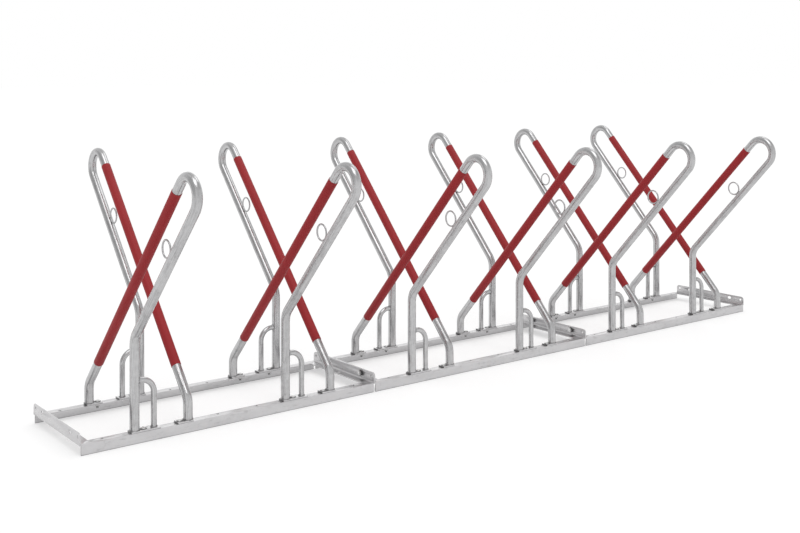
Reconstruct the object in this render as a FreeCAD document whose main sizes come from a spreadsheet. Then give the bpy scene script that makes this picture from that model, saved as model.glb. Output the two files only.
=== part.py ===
import FreeCAD, Part
import math
import os
import Sketcher

# Double-sided lean rack for bicycles: three equal modules bolted end to end, each with two hoops leaning
# to either side. Steel throughout, in millimetres, with +X along the row, +Z up, and the origin on the
# ground under the middle of the rack.

SIZES = [
    ("module_count", 3, "modules in the row"),
    ("module_length", 1000, "one module from end plane to end plane"),
    ("frame_width", 360, "over the outer faces of the two rails"),
    ("rail_leg", 30, "both legs of the rails' angle"),
    ("rail_wall", 3, "thickness of the rails' angle"),
    ("rail_end_gap", 4, "how far the upright leg of a rail stops short of the module's end"),
    ("spare_hole", 8, "unused holes in the rails' top leg"),
    ("spare_hole_outer", 72, "from the module's end to its first spare hole"),
    ("spare_hole_inner", 434, "from the module's end to its second spare hole"),
    ("spare_hole_inset", 21, "from the rail's outer face to the spare holes"),
    ("cross_leg", 35, "both legs of the cross angles"),
    ("cross_wall", 3, "thickness of the cross angles"),
    ("cross_corner", 9, "cut-off top corners of the upright leg"),
    ("link_height", 49, "height of the slots and end holes above the ground"),
    ("slot_inset", 73, "from the frame's side to the middle of a slot"),
    ("slot_length", 17, "overall length of a slot"),
    ("slot_width", 11, "width of a slot"),
    ("end_hole_inset", 16, "from the frame's side to the round end hole"),
    ("end_hole", 9, "diameter of the round end holes"),
    ("anchor_hole", 12, "diameter of the ground anchor holes"),
    ("anchor_inset", 18, "from the module's end plane to its anchor hole"),
    ("tube_diameter", 28, "hoop tube"),
    ("hoop_height", 792, "ground to the top of a hoop"),
    ("bend_radius", 52, "centre line of the half-turn bend at the top"),
    ("incline", 47, "slope of the two parallel runs, in degrees above level"),
    ("foot_inset", 15, "from the frame's side to the middle of a hoop's foot"),
    ("short_leg", 40, "straight part of the leg under the sleeved run"),
    ("short_knee", 50, "centre line radius of the knee over the short leg"),
    ("long_knee", 60, "centre line radius of the knee over the long leg"),
    ("sleeve_start", 90, "from the short leg's knee to the sleeve"),
    ("sleeve_length", 765, "length of the plastic sleeve"),
    ("sleeve_gap", 0.15, "clearance between sleeve and tube"),
    ("sleeve_wall", 0.85, "thickness of the sleeve"),
    ("ring_diameter", 54, "outside of the lock ring"),
    ("ring_rod", 5.5, "rod of the lock ring"),
    ("ring_drop", 197, "from the top bend down the bare run to the lock ring"),
    ("guide_diameter", 17, "wheel guide tube"),
    ("guide_offset", 59, "from the hoop's leg to the wheel guide's leg"),
    ("guide_height", 183, "ground to the top of a wheel guide"),
    ("guide_bend", 40, "centre line radius of the wheel guide's bend"),
    ("plate_thickness", 5, "foot plates"),
    ("plate_width", 30, "foot plates, across the rail"),
    ("wide_plate", 90, "length of the plate under a hoop leg and its wheel guide"),
    ("wide_plate_lead", 15, "from that plate's end to the middle of the hoop leg"),
    ("short_plate", 50, "length of the plate under a short leg"),
    ("short_plate_lead", 12, "from that plate's end to the middle of the short leg"),
    ("foot_bolt_offset", 27, "from the middle of a foot to its bolt"),
    ("foot_bolt", 8, "diameter of the foot bolts"),
    ("bolt_play", 1, "bolt holes over bolt diameter"),
    ("dome_diameter", 20, "low domed heads of the foot bolts"),
    ("dome_height", 5, "height of those heads"),
    ("dome_slope", 38, "how far the side of a domed head leans in, in degrees off its axis"),
    ("foot_nut_flats", 13, "across the flats of the foot nuts"),
    ("foot_nut_height", 6.5, "height of a foot nut"),
    ("foot_bolt_end", 6, "end of a foot bolt that shows past its nut"),
    ("joining_bolt", 10, "diameter of the bolts that join the modules"),
    ("joining_flats", 16, "across the flats of their heads and nuts"),
    ("joining_head_height", 8.4, "their hexagonal heads, with the washer"),
    ("joining_nut_height", 8.4, "their nuts, with the washer"),
    ("joining_bolt_end", 3, "end of a joining bolt that shows past its nut"),
]

# Round pieces that repeat many times are drawn with this many flats, as wide over the flats as the real
# diameter, and their bends with this many chords.
TUBE_FLATS = 12
GUIDE_FLATS = 8
RING_FLATS = 8
HEXAGON = 6
SLOT_SHANK_FLATS = 8
TOP_BEND_CHORDS = 7
KNEE_CHORDS = 2
GUIDE_BEND_CHORDS = 3

RACK_LENGTH = "(sizes.module_length * sizes.module_count)"
HOOP_PITCH = "(sizes.module_length / 2)"
FIRST_HOOP = "sizes.module_length / 6"
HALF_FRAME = "sizes.frame_width / 2"
FOOT = "(sizes.frame_width / 2 - sizes.foot_inset)"
SLOT = "(sizes.frame_width / 2 - sizes.slot_inset)"
PLATE_TOP = "(sizes.rail_leg + sizes.plate_thickness)"
BOLT_HOLE = "(sizes.foot_bolt + sizes.bolt_play)"
FLANGE_UNDERSIDE = "(sizes.rail_leg - sizes.rail_wall)"
FLANGE_OF_CROSS = "(sizes.rail_leg - sizes.cross_wall)"

# The hoop's plane, with y across the rack: the sleeved run climbs from the short leg on one rail over the
# other rail, the top bend turns it back, and the bare run comes down to the long leg.
SLOPE = "(sizes.incline * 1 deg)"
BEND_Z = "(sizes.hoop_height - sizes.tube_diameter / 2 - sizes.bend_radius)"
KNEE_END_Y = f"({FOOT} - sizes.short_knee * (1 - sin({SLOPE})))"
KNEE_END_Z = f"({PLATE_TOP} + sizes.short_leg + sizes.short_knee * cos({SLOPE}))"
SLEEVED_RUN = f"(({BEND_Z} + sizes.bend_radius * cos({SLOPE}) - {KNEE_END_Z}) / sin({SLOPE}))"
BEND_Y = f"({KNEE_END_Y} - {SLEEVED_RUN} * cos({SLOPE}) - sizes.bend_radius * sin({SLOPE}))"
RING_REACH = "(sizes.bend_radius - sizes.tube_diameter / 2 - sizes.ring_diameter / 2)"
RING_Y = f"({BEND_Y} + sizes.ring_drop * cos({SLOPE}) - {RING_REACH} * sin({SLOPE}))"
RING_Z = f"({BEND_Z} - sizes.ring_drop * sin({SLOPE}) - {RING_REACH} * cos({SLOPE}))"

doc = FreeCAD.newDocument("bicycle_lean_rack")
sheet = doc.addObject("Spreadsheet::Sheet", "sizes")
for row, (alias, value, meaning) in enumerate(SIZES, start=1):
    sheet.set(f"A{row}", alias)
    sheet.set(f"B{row}", str(value))
    sheet.set(f"C{row}", meaning)
    sheet.setAlias(f"B{row}", alias)
doc.recompute()

X_AXIS = FreeCAD.Vector(1, 0, 0)
Z_AXIS = FreeCAD.Vector(0, 0, 1)
parts = []


def number(formula):
    """The value of a formula of the size sheet."""
    value = sheet.evalExpression(formula)
    return float(getattr(value, "Value", value))


def count(formula):
    return int(round(number(formula)))


def origin_item(body, role):
    for item in body.Origin.OriginFeatures:
        if item.Role == role:
            return item
    raise ValueError(f"no {role} in {body.Label}")


def new_body(label):
    """An empty body that becomes the file and node of this name."""
    body = doc.addObject("PartDesign::Body", label)
    body.Label = label
    parts.append(body)
    return body


def place(body, along, turned):
    """Moves a body to its place along the row; a turned one is counted from the other end and faces about."""
    if turned:
        body.Placement = FreeCAD.Placement(FreeCAD.Vector(), FreeCAD.Rotation(Z_AXIS, 180))
        body.setExpression("Placement.Base.x", f"{RACK_LENGTH} / 2 - ({along})")
    else:
        body.setExpression("Placement.Base.x", f"({along}) - {RACK_LENGTH} / 2")


def new_sketch(body, name, role, height=None):
    """A sketch on one of the body's own origin planes, or at a height over it."""
    sketch = body.newObject("Sketcher::SketchObject", name)
    sketch.AttachmentSupport = [(origin_item(body, role), "")]
    sketch.MapMode = "FlatFace"
    if height:
        sketch.setExpression("AttachmentOffset.Base.z", height)
    return sketch


def constrain(sketch, kind, *where):
    return sketch.addConstraint(Sketcher.Constraint(kind, *where))


def dimension(sketch, name, formula, kind, *where):
    """A named dimension of the sketch that follows a formula of the size sheet."""
    index = constrain(sketch, kind, *where, number(formula))
    sketch.renameConstraint(index, name)
    sketch.setExpression(f"Constraints.{name}", formula)


def pin_point(sketch, name, geometry, point, across, up):
    """Fixes a point by its two distances from the sketch's origin."""
    for axis, formula, kind, on_axis in ((f"{name}_x", across, "DistanceX", -2), (f"{name}_y", up, "DistanceY", -1)):
        place_now = number(formula)
        if abs(place_now) < 1e-9:
            constrain(sketch, "PointOnObject", geometry, point, on_axis)
        elif place_now > 0:
            dimension(sketch, axis, formula, kind, -1, 1, geometry, point)
        else:
            dimension(sketch, axis, f"-({formula})", kind, geometry, point, -1, 1)


def draw_outline(sketch, name, corners):
    """A closed outline of straight lines through corners, each given by two formulas."""
    points = [FreeCAD.Vector(number(across), number(up), 0) for across, up in corners]
    first = sketch.GeometryCount
    for index, start in enumerate(points):
        end = points[(index + 1) % len(points)]
        sketch.addGeometry(Part.LineSegment(start, end), False)
    for index, (across, up) in enumerate(corners):
        following = (index + 1) % len(corners)
        constrain(sketch, "Coincident", first + index, 2, first + following, 1)
        pin_point(sketch, f"{name}_{index}", first + index, 1, across, up)


def draw_circle(sketch, name, across, up, diameter):
    centre = FreeCAD.Vector(number(across), number(up), 0)
    circle = sketch.addGeometry(Part.Circle(centre, Z_AXIS, number(diameter) / 2), False)
    pin_point(sketch, name, circle, 3, across, up)
    dimension(sketch, f"{name}_size", diameter, "Diameter", circle)


def draw_flats(sketch, name, across, up, flats, width):
    """A regular outline with this many flats, the given width over the flats, one of them facing +x."""
    centre = FreeCAD.Vector(number(across), number(up), 0)
    corner_radius = f"({width}) / 2 / cos(180 deg / {flats})"
    reach = number(corner_radius)
    turn = 2 * math.pi / flats
    first = sketch.GeometryCount
    for index in range(flats):
        ends = []
        for step in (index + 0.5, index + 1.5):
            ray = FreeCAD.Vector(math.cos(step * turn), math.sin(step * turn), 0)
            ends.append(centre + ray * reach)
        sketch.addGeometry(Part.LineSegment(*ends), False)
    circle = sketch.addGeometry(Part.Circle(centre, Z_AXIS, reach), True)
    for index in range(flats):
        constrain(sketch, "Coincident", first + index, 2, first + (index + 1) % flats, 1)
        constrain(sketch, "PointOnObject", first + index, 1, circle)
        if index:
            constrain(sketch, "Equal", first, first + index)
    constrain(sketch, "Vertical", first + flats - 1)
    pin_point(sketch, name, circle, 3, across, up)
    dimension(sketch, f"{name}_reach", corner_radius, "Radius", circle)


def draw_slot(sketch, name, across, up, length, width):
    """A slot lying along x, each of its ends drawn as half of an octagon."""
    half_length = f"({length}) / 2"
    half_width = f"({width}) / 2"
    flat = f"({half_width} * tan(22.5 deg))"
    shoulder = f"({half_length} - {half_width} + {flat})"
    corners = []
    for side, rising in (("+", True), ("-", False)):
        quarter = [(half_length, "-", flat), (half_length, "+", flat), (shoulder, "+", half_width)]
        if rising:
            corners += [(f"{across} + {reach}", f"{up} {sign} {rise}") for reach, sign, rise in quarter]
            corners.append((f"{across} - {shoulder}", f"{up} + {half_width}"))
        else:
            turned = {"+": "-", "-": "+"}
            corners += [(f"{across} - {reach}", f"{up} {turned[sign]} {rise}") for reach, sign, rise in quarter]
            corners.append((f"{across} + {shoulder}", f"{up} - {half_width}"))
    draw_outline(sketch, name, corners)


def draw_angle(sketch, leg, wall, corner, upward):
    """An angle's section: its outer corner, one leg along +x, the other leg up or down."""
    across, up = corner
    sign = "+" if upward else "-"
    draw_outline(sketch, "angle", [
        (across, up),
        (f"{across} + {leg}", up),
        (f"{across} + {leg}", f"{up} {sign} {wall}"),
        (f"{across} + {wall}", f"{up} {sign} {wall}"),
        (f"{across} + {wall}", f"{up} {sign} {leg}"),
        (across, f"{up} {sign} {leg}"),
    ])


def draw_bend(sketch, name, centre, radius, before, after, chords):
    """Chords of a bend between two straight lines that end on its construction arc.

    The lines are given as (geometry, point); the arc's dimension follows the formula of its radius.
    """
    ends = [sketch.getPoint(*line) - centre for line in (before, after)]
    turned = [math.atan2(end.y, end.x) for end in ends]
    sweep_angle = (turned[1] - turned[0] + math.pi) % (2 * math.pi) - math.pi
    if abs(abs(sweep_angle) - math.pi) < 1e-6:
        sweep_angle = -math.pi
    circle = Part.Circle(centre, Z_AXIS, number(radius))
    angles = sorted((turned[0], turned[0] + sweep_angle))
    arc = sketch.addGeometry(Part.ArcOfCircle(circle, *angles), True)
    at_before, at_after = (1, 2) if sweep_angle > 0 else (2, 1)
    constrain(sketch, "Tangent", *before, arc, at_before)
    constrain(sketch, "Tangent", *after, arc, at_after)
    dimension(sketch, name, radius, "Radius", arc)
    points = []
    for step in range(chords + 1):
        angle = turned[0] + sweep_angle * step / chords
        points.append(centre + FreeCAD.Vector(math.cos(angle), math.sin(angle), 0) * number(radius))
    first = sketch.GeometryCount
    for start, end in zip(points, points[1:]):
        sketch.addGeometry(Part.LineSegment(start, end), False)
    constrain(sketch, "Coincident", first, 1, *before)
    for index in range(1, chords):
        constrain(sketch, "Coincident", first + index - 1, 2, first + index, 1)
        constrain(sketch, "PointOnObject", first + index, 1, arc)
        constrain(sketch, "Equal", first, first + index)
    constrain(sketch, "Coincident", first + chords - 1, 2, *after)
    return arc


def pad(body, name, sketch, length, both_ways=False):
    feature = body.newObject("PartDesign::Pad", name)
    feature.Profile = sketch
    feature.setExpression("Length", length)
    feature.Midplane = both_ways
    return feature


def cut(body, name, sketch, depth=None):
    """A pocket right through to both sides of its sketch, or to a depth under it."""
    doc.recompute()
    before = body.Shape.Volume
    feature = body.newObject("PartDesign::Pocket", name)
    feature.Profile = sketch
    if depth:
        feature.setExpression("Length", depth)
    else:
        feature.Type = "ThroughAll"
        feature.Midplane = True
    doc.recompute()
    if not before - body.Shape.Volume > 1:
        raise ValueError(f"{name} in {body.Label} takes nothing away")
    return feature


def sweep(body, name, section, path):
    """A section along a path of straight lines, mitred where they meet."""
    lines = sum(not path.getConstruction(index) for index in range(path.GeometryCount))
    feature = body.newObject("PartDesign::AdditivePipe", name)
    feature.Profile = (section, [""])
    feature.Spine = (path, [f"Edge{index + 1}" for index in range(lines)])
    feature.Transition = "Right corner"
    return feature


def repeat(body, features, pitch, copies):
    """Repeats features along the row."""
    pattern = body.newObject("PartDesign::LinearPattern", "along_the_row")
    pattern.Originals = features
    pattern.Direction = (origin_item(body, "X_Axis"), [""])
    pattern.Mode = "Spacing"
    pattern.setExpression("Offset", pitch)
    pattern.setExpression("Occurrences", copies)
    body.Tip = pattern
    return pattern


def repeat_at_hoops(body, features):
    return repeat(body, features, HOOP_PITCH, "2 * sizes.module_count")


# Base frame: two rails and two cross angles to a module, mitred into each other at the corners.

def make_rail(label, module, turned):
    body = new_body(label)
    section = new_sketch(body, "section", "YZ_Plane")
    corner = (f"-{HALF_FRAME}", "sizes.rail_leg")
    draw_angle(section, "sizes.rail_leg", "sizes.rail_wall", corner, upward=False)
    pad(body, "angle", section, "sizes.module_length", both_ways=True)
    mitres = new_sketch(body, "mitres", "XY_Plane")
    gaps = new_sketch(body, "end_gaps", "XZ_Plane")
    spare = new_sketch(body, "spare_holes", "XY_Plane")
    for end, sign in (("left", "-1"), ("right", "1")):
        tip = f"{sign} * sizes.module_length / 2"
        inner = f"{sign} * (sizes.module_length / 2 - sizes.rail_leg)"
        draw_outline(mitres, end, [
            (tip, f"-{HALF_FRAME}"),
            (tip, f"-{HALF_FRAME} + sizes.rail_leg"),
            (inner, f"-{HALF_FRAME} + sizes.rail_leg"),
        ])
        stop = f"{sign} * (sizes.module_length / 2 - sizes.rail_end_gap)"
        draw_outline(gaps, end, [(tip, "0"), (stop, "0"), (stop, FLANGE_UNDERSIDE), (tip, FLANGE_UNDERSIDE)])
        for hole in ("outer", "inner"):
            along = f"{sign} * (sizes.module_length / 2 - sizes.spare_hole_{hole})"
            across = f"-{HALF_FRAME} + sizes.spare_hole_inset"
            draw_flats(spare, f"{end}_{hole}", along, across, HEXAGON, "sizes.spare_hole")
    cut(body, "mitre_cuts", mitres)
    cut(body, "end_gap_cuts", gaps)
    cut(body, "spare_hole_cuts", spare)
    bolts = new_sketch(body, "bolt_holes", "XY_Plane")
    first = "-sizes.module_length / 2 + sizes.module_length / 6 + sizes.foot_bolt_offset"
    second = "-sizes.module_length / 2 + sizes.module_length / 3 - sizes.foot_bolt_offset"
    for name, along in (("leg", first), ("short_leg", second)):
        draw_flats(bolts, name, along, f"-{FOOT}", HEXAGON, BOLT_HOLE)
    holes = cut(body, "bolt_hole_cuts", bolts)
    repeat(body, [holes], HOOP_PITCH, "2")
    place(body, f"sizes.module_length * {module + 0.5}", turned)


def make_cross_angle(label, end, turned):
    body = new_body(label)
    section = new_sketch(body, "section", "XZ_Plane")
    draw_angle(section, "sizes.cross_leg", "sizes.cross_wall", ("0", FLANGE_OF_CROSS), upward=True)
    angle = pad(body, "angle", section, "sizes.frame_width", both_ways=True)
    doc.recompute()
    top = number(f"{FLANGE_OF_CROSS} + sizes.cross_leg")
    side = number(HALF_FRAME)
    corners = []
    for index, edge in enumerate(angle.Shape.Edges, start=1):
        middle = edge.CenterOfMass
        if abs(middle.z - top) < 1e-6 and abs(abs(middle.y) - side) < 1e-6:
            corners.append(f"Edge{index}")
    cut_corners = body.newObject("PartDesign::Chamfer", "cut_corners")
    cut_corners.Base = (angle, corners)
    cut_corners.setExpression("Size", "sizes.cross_corner")
    mitres = new_sketch(body, "mitres", "XY_Plane", "sizes.rail_leg")
    links = new_sketch(body, "slots_and_holes", "YZ_Plane")
    for side_name, sign in (("near", "-1"), ("far", "1")):
        outer = f"{sign} * {HALF_FRAME}"
        inner = f"{sign} * ({HALF_FRAME} - sizes.rail_leg)"
        draw_outline(mitres, side_name, [
            ("0", outer),
            ("sizes.cross_leg", outer),
            ("sizes.cross_leg", inner),
            ("sizes.rail_leg", inner),
        ])
        draw_slot(
            links, f"{side_name}_slot", f"{sign} * {SLOT}", "sizes.link_height",
            "sizes.slot_length", "sizes.slot_width",
        )
        hole_place = f"{sign} * ({HALF_FRAME} - sizes.end_hole_inset)"
        draw_flats(links, f"{side_name}_hole", hole_place, "sizes.link_height", HEXAGON, "sizes.end_hole")
    cut(body, "mitre_cuts", mitres, "sizes.cross_wall")
    cut(body, "slot_and_hole_cuts", links)
    anchor = new_sketch(body, "anchor", "XY_Plane")
    draw_circle(anchor, "anchor", "sizes.anchor_inset", "0", "sizes.anchor_hole")
    cut(body, "anchor_cut", anchor)
    place(body, f"sizes.module_length * {end}", turned)


# Hoops: one tube bent in a plane square to the row, with a plastic sleeve on one run and a lock ring on
# the other.

def make_hoop(label, hoop, turned):
    body = new_body(label)
    path = new_sketch(body, "centre_line", "YZ_Plane")
    slope = math.radians(number("sizes.incline"))
    foot, foot_height = number(FOOT), number(PLATE_TOP)
    top_bend, short_knee, long_knee = (
        number(f"sizes.{name}") for name in ("bend_radius", "short_knee", "long_knee")
    )
    outward = FreeCAD.Vector(-math.cos(slope), math.sin(slope), 0)
    square = FreeCAD.Vector(math.sin(slope), math.cos(slope), 0)
    upright = FreeCAD.Vector(0, 1, 0)
    bend_centre = FreeCAD.Vector(number(BEND_Y), number(BEND_Z), 0)
    short_foot = FreeCAD.Vector(foot, foot_height, 0)
    short_top = short_foot + upright * number("sizes.short_leg")
    short_centre = short_top - X_AXIS * short_knee
    long_foot = FreeCAD.Vector(-foot, foot_height, 0)
    bare_top = bend_centre - square * top_bend
    corner = bare_top - outward * ((bare_top.x + foot) / outward.x)
    tangent = long_knee * math.tan((math.pi / 2 - slope) / 2)
    long_top = corner - upright * tangent
    long_centre = long_top - X_AXIS * long_knee
    runs = [
        (long_foot, long_top),
        (corner + outward * tangent, bare_top),
        (bend_centre + square * top_bend, short_centre + square * short_knee),
        (short_top, short_foot),
    ]
    for start, end in runs:
        path.addGeometry(Part.LineSegment(start, end), False)
    draw_bend(path, "long_knee", long_centre, "sizes.long_knee", (0, 2), (1, 1), KNEE_CHORDS)
    bend = draw_bend(path, "top_bend", bend_centre, "sizes.bend_radius", (1, 2), (2, 1), TOP_BEND_CHORDS)
    draw_bend(path, "short_knee", short_centre, "sizes.short_knee", (2, 2), (3, 1), KNEE_CHORDS)
    constrain(path, "Vertical", 0)
    constrain(path, "Vertical", 3)
    pin_point(path, "long_foot", 0, 1, f"-{FOOT}", PLATE_TOP)
    pin_point(path, "short_foot", 3, 2, FOOT, PLATE_TOP)
    dimension(path, "short_leg", "sizes.short_leg", "DistanceY", 3, 2, 3, 1)
    dimension(path, "bend_height", BEND_Z, "DistanceY", -1, 1, bend, 3)
    constrain(path, "Parallel", 1, 2)
    incline = constrain(path, "Angle", -1, 1, 1, 1, math.pi - slope)
    path.renameConstraint(incline, "incline")
    path.setExpression("Constraints.incline", f"180 deg - {SLOPE}")
    section = new_sketch(body, "section", "XY_Plane", PLATE_TOP)
    draw_flats(section, "tube", "0", f"-{FOOT}", TUBE_FLATS, "sizes.tube_diameter")
    sweep(body, "tube", section, path)
    place(body, f"{FIRST_HOOP} + {hoop} * {HOOP_PITCH}", turned)


def make_sleeve(label, hoop, turned):
    body = new_body(label)
    section = new_sketch(body, "section", "XY_Plane")
    section.AttachmentOffset = FreeCAD.Placement(FreeCAD.Vector(), FreeCAD.Rotation(X_AXIS, 45))
    section.setExpression("AttachmentOffset.Base.y", f"{KNEE_END_Y} - sizes.sleeve_start * cos({SLOPE})")
    section.setExpression("AttachmentOffset.Base.z", f"{KNEE_END_Z} + sizes.sleeve_start * sin({SLOPE})")
    section.setExpression("AttachmentOffset.Rotation.Angle", f"90 deg - {SLOPE}")
    bore = "(sizes.tube_diameter + 2 * sizes.sleeve_gap)"
    draw_flats(section, "bore", "0", "0", TUBE_FLATS, bore)
    draw_flats(section, "outside", "0", "0", TUBE_FLATS, f"{bore} + 2 * sizes.sleeve_wall")
    pad(body, "sleeve", section, "sizes.sleeve_length")
    place(body, f"{FIRST_HOOP} + {hoop} * {HOOP_PITCH}", turned)


def make_lock_rings(label, turned):
    body = new_body(label)
    outline = new_sketch(body, "outline", "YZ_Plane")
    outline.AttachmentOffset = FreeCAD.Placement(FreeCAD.Vector(), FreeCAD.Rotation(Z_AXIS, 45))
    outline.setExpression("AttachmentOffset.Base.x", RING_Y)
    outline.setExpression("AttachmentOffset.Base.y", RING_Z)
    outline.setExpression("AttachmentOffset.Rotation.Angle", f"90 deg - {SLOPE}")
    draw_flats(outline, "outside", "0", "0", RING_FLATS, "sizes.ring_diameter")
    draw_flats(outline, "inside", "0", "0", RING_FLATS, "sizes.ring_diameter - 2 * sizes.ring_rod")
    ring = pad(body, "ring", outline, "sizes.ring_rod", both_ways=True)
    repeat_at_hoops(body, [ring])
    place(body, FIRST_HOOP, turned)


def make_wheel_guides(label, turned):
    """Thin tubes that leave the long legs level and bend down to the rail, coped to the legs they join."""
    body = new_body(label)
    path = new_sketch(body, "centre_line", "XZ_Plane", FOOT)
    level = number("sizes.guide_height - sizes.guide_diameter / 2")
    offset, radius = number("sizes.guide_offset"), number("sizes.guide_bend")
    foot = FreeCAD.Vector(offset, number(PLATE_TOP), 0)
    centre = FreeCAD.Vector(offset - radius, level - radius, 0)
    leg = FreeCAD.Vector(0, level, 0)
    path.addGeometry(Part.LineSegment(foot, centre + X_AXIS * radius), False)
    path.addGeometry(Part.LineSegment(FreeCAD.Vector(centre.x, level, 0), leg), False)
    draw_bend(path, "bend", centre, "sizes.guide_bend", (0, 2), (1, 1), GUIDE_BEND_CHORDS)
    constrain(path, "Vertical", 0)
    constrain(path, "Horizontal", 1)
    pin_point(path, "foot", 0, 1, "sizes.guide_offset", PLATE_TOP)
    pin_point(path, "leg", 1, 2, "0", "sizes.guide_height - sizes.guide_diameter / 2")
    section = new_sketch(body, "section", "XY_Plane", PLATE_TOP)
    draw_flats(section, "tube", "sizes.guide_offset", f"-{FOOT}", GUIDE_FLATS, "sizes.guide_diameter")
    guide = sweep(body, "tube", section, path)
    leg = new_sketch(body, "leg", "XY_Plane")
    draw_flats(leg, "leg", "0", f"-{FOOT}", TUBE_FLATS, "sizes.tube_diameter")
    cope = cut(body, "cope", leg)
    repeat_at_hoops(body, [guide, cope])
    place(body, FIRST_HOOP, turned)


# Feet: flat plates on the rails, each held by one bolt beside the tube.

def make_foot_plates(label, length, lead, side, turned):
    body = new_body(label)
    outline = new_sketch(body, "outline", "XY_Plane", "sizes.rail_leg")
    start, end = f"-{lead}", f"{length} - {lead}"
    outer = f"{side} * {HALF_FRAME}"
    inner = f"{side} * ({HALF_FRAME} - sizes.plate_width)"
    draw_outline(outline, "plate", [(start, outer), (end, outer), (end, inner), (start, inner)])
    draw_flats(outline, "hole", "sizes.foot_bolt_offset", f"{side} * {FOOT}", HEXAGON, BOLT_HOLE)
    plate = pad(body, "plate", outline, "sizes.plate_thickness")
    repeat_at_hoops(body, [plate])
    place(body, FIRST_HOOP, turned)


def make_foot_fasteners(side_name, turned):
    """Bolts and nuts of one side's hoops, at the long legs and at the short legs."""
    spots = [("long", f"-{FOOT}"), ("short", FOOT)]

    def drawn(body, name, height, *outlines):
        sketch = new_sketch(body, name, "XY_Plane", height)
        for spot, across in spots:
            for kind, width in outlines:
                draw_flats(sketch, f"{spot}_{kind}", "sizes.foot_bolt_offset", across, HEXAGON, width)
        return sketch

    bolt = new_body(f"{side_name}_foot_bolts")
    shank_length = f"{PLATE_TOP} - {FLANGE_UNDERSIDE} + sizes.foot_nut_height + sizes.foot_bolt_end"
    shank = drawn(bolt, "shanks", f"{PLATE_TOP} - ({shank_length})", ("shank", "sizes.foot_bolt"))
    dome = drawn(bolt, "heads", PLATE_TOP, ("head", "sizes.dome_diameter"))
    head = pad(bolt, "head", dome, "sizes.dome_height")
    head.setExpression("TaperAngle", "-sizes.dome_slope * 1 deg")
    repeat_at_hoops(bolt, [pad(bolt, "shank", shank, shank_length), head])
    place(bolt, FIRST_HOOP, turned)

    nut = new_body(f"{side_name}_foot_nuts")
    outlines = [("bore", "sizes.foot_bolt"), ("nut", "sizes.foot_nut_flats")]
    hexagon = drawn(nut, "nuts", f"{FLANGE_UNDERSIDE} - sizes.foot_nut_height", *outlines)
    repeat_at_hoops(nut, [pad(nut, "nut", hexagon, "sizes.foot_nut_height")])
    place(nut, FIRST_HOOP, turned)


# Joints between modules: a bolt through the slots on each side.

def make_joining_fasteners():
    spots = [("near", f"-{SLOT}"), ("far", SLOT)]
    copies = "sizes.module_count - 1"

    def drawn(body, name, along, *outlines):
        sketch = new_sketch(body, name, "YZ_Plane", along)
        for spot, across in spots:
            for kind, flats, width in outlines:
                draw_flats(sketch, f"{spot}_{kind}", across, "sizes.link_height", flats, width)
        return sketch

    nut_end = "(sizes.cross_wall + sizes.joining_nut_height)"
    bolt_end = f"({nut_end} + sizes.joining_bolt_end)"
    bolt = new_body("joining_bolts")
    shank = drawn(bolt, "shanks", f"-{bolt_end}", ("shank", SLOT_SHANK_FLATS, "sizes.joining_bolt"))
    head = drawn(bolt, "heads", "sizes.cross_wall", ("head", HEXAGON, "sizes.joining_flats"))
    features = [
        pad(bolt, "shank", shank, f"{bolt_end} + sizes.cross_wall"),
        pad(bolt, "head", head, "sizes.joining_head_height"),
    ]
    repeat(bolt, features, "sizes.module_length", copies)
    place(bolt, "sizes.module_length", False)

    nut = new_body("joining_nuts")
    outlines = [("bore", SLOT_SHANK_FLATS, "sizes.joining_bolt"), ("nut", HEXAGON, "sizes.joining_flats")]
    hexagon = drawn(nut, "nuts", f"-{nut_end}", *outlines)
    nuts = pad(nut, "nut", hexagon, "sizes.joining_nut_height")
    repeat(nut, [nuts], "sizes.module_length", copies)
    place(nut, "sizes.module_length", False)


# The far side is the near side turned half a turn about the rack's middle, so its pieces are counted
# from the other end.

modules = count("sizes.module_count")
for module in range(modules):
    make_rail(f"near_rail_{module + 1}", module, turned=False)
    make_rail(f"far_rail_{modules - module}", module, turned=True)
    make_cross_angle(f"left_cross_angle_{module + 1}", module, turned=False)
    make_cross_angle(f"right_cross_angle_{modules - module}", module, turned=True)

hoops = 2 * modules
for hoop in range(hoops):
    make_hoop(f"near_hoop_{hoop + 1}", hoop, turned=False)
    make_hoop(f"far_hoop_{hoops - hoop}", hoop, turned=True)
    make_sleeve(f"near_sleeve_{hoop + 1}", hoop, turned=False)
    make_sleeve(f"far_sleeve_{hoops - hoop}", hoop, turned=True)

for side_name, turned in (("near", False), ("far", True)):
    make_lock_rings(f"{side_name}_lock_rings", turned)
    make_wheel_guides(f"{side_name}_wheel_guides", turned)
    make_foot_plates(
        f"{side_name}_leg_plates", "sizes.wide_plate", "sizes.wide_plate_lead", "-1", turned,
    )
    make_foot_plates(
        f"{side_name}_short_leg_plates", "sizes.short_plate", "sizes.short_plate_lead", "1", turned,
    )
    make_foot_fasteners(side_name, turned)
make_joining_fasteners()

doc.recompute()
for item in doc.Objects:
    if "Invalid" in item.State or "Error" in item.State:
        raise ValueError(f"{item.Label} failed: {item.State}")
for body in parts:
    if body.Shape.isNull() or not body.Shape.isValid() or not body.Shape.Solids:
        raise ValueError(f"{body.Label} has no valid solid")

os.makedirs("parts", exist_ok=True)
for body in parts:
    body.Shape.exportStep(f"parts/{body.Label}.step")
print(f"{len(parts)} parts, {sum(len(body.Shape.Solids) for body in parts)} solids")
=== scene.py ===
"""Bicycle lean rack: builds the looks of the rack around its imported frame."""

import math

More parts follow.
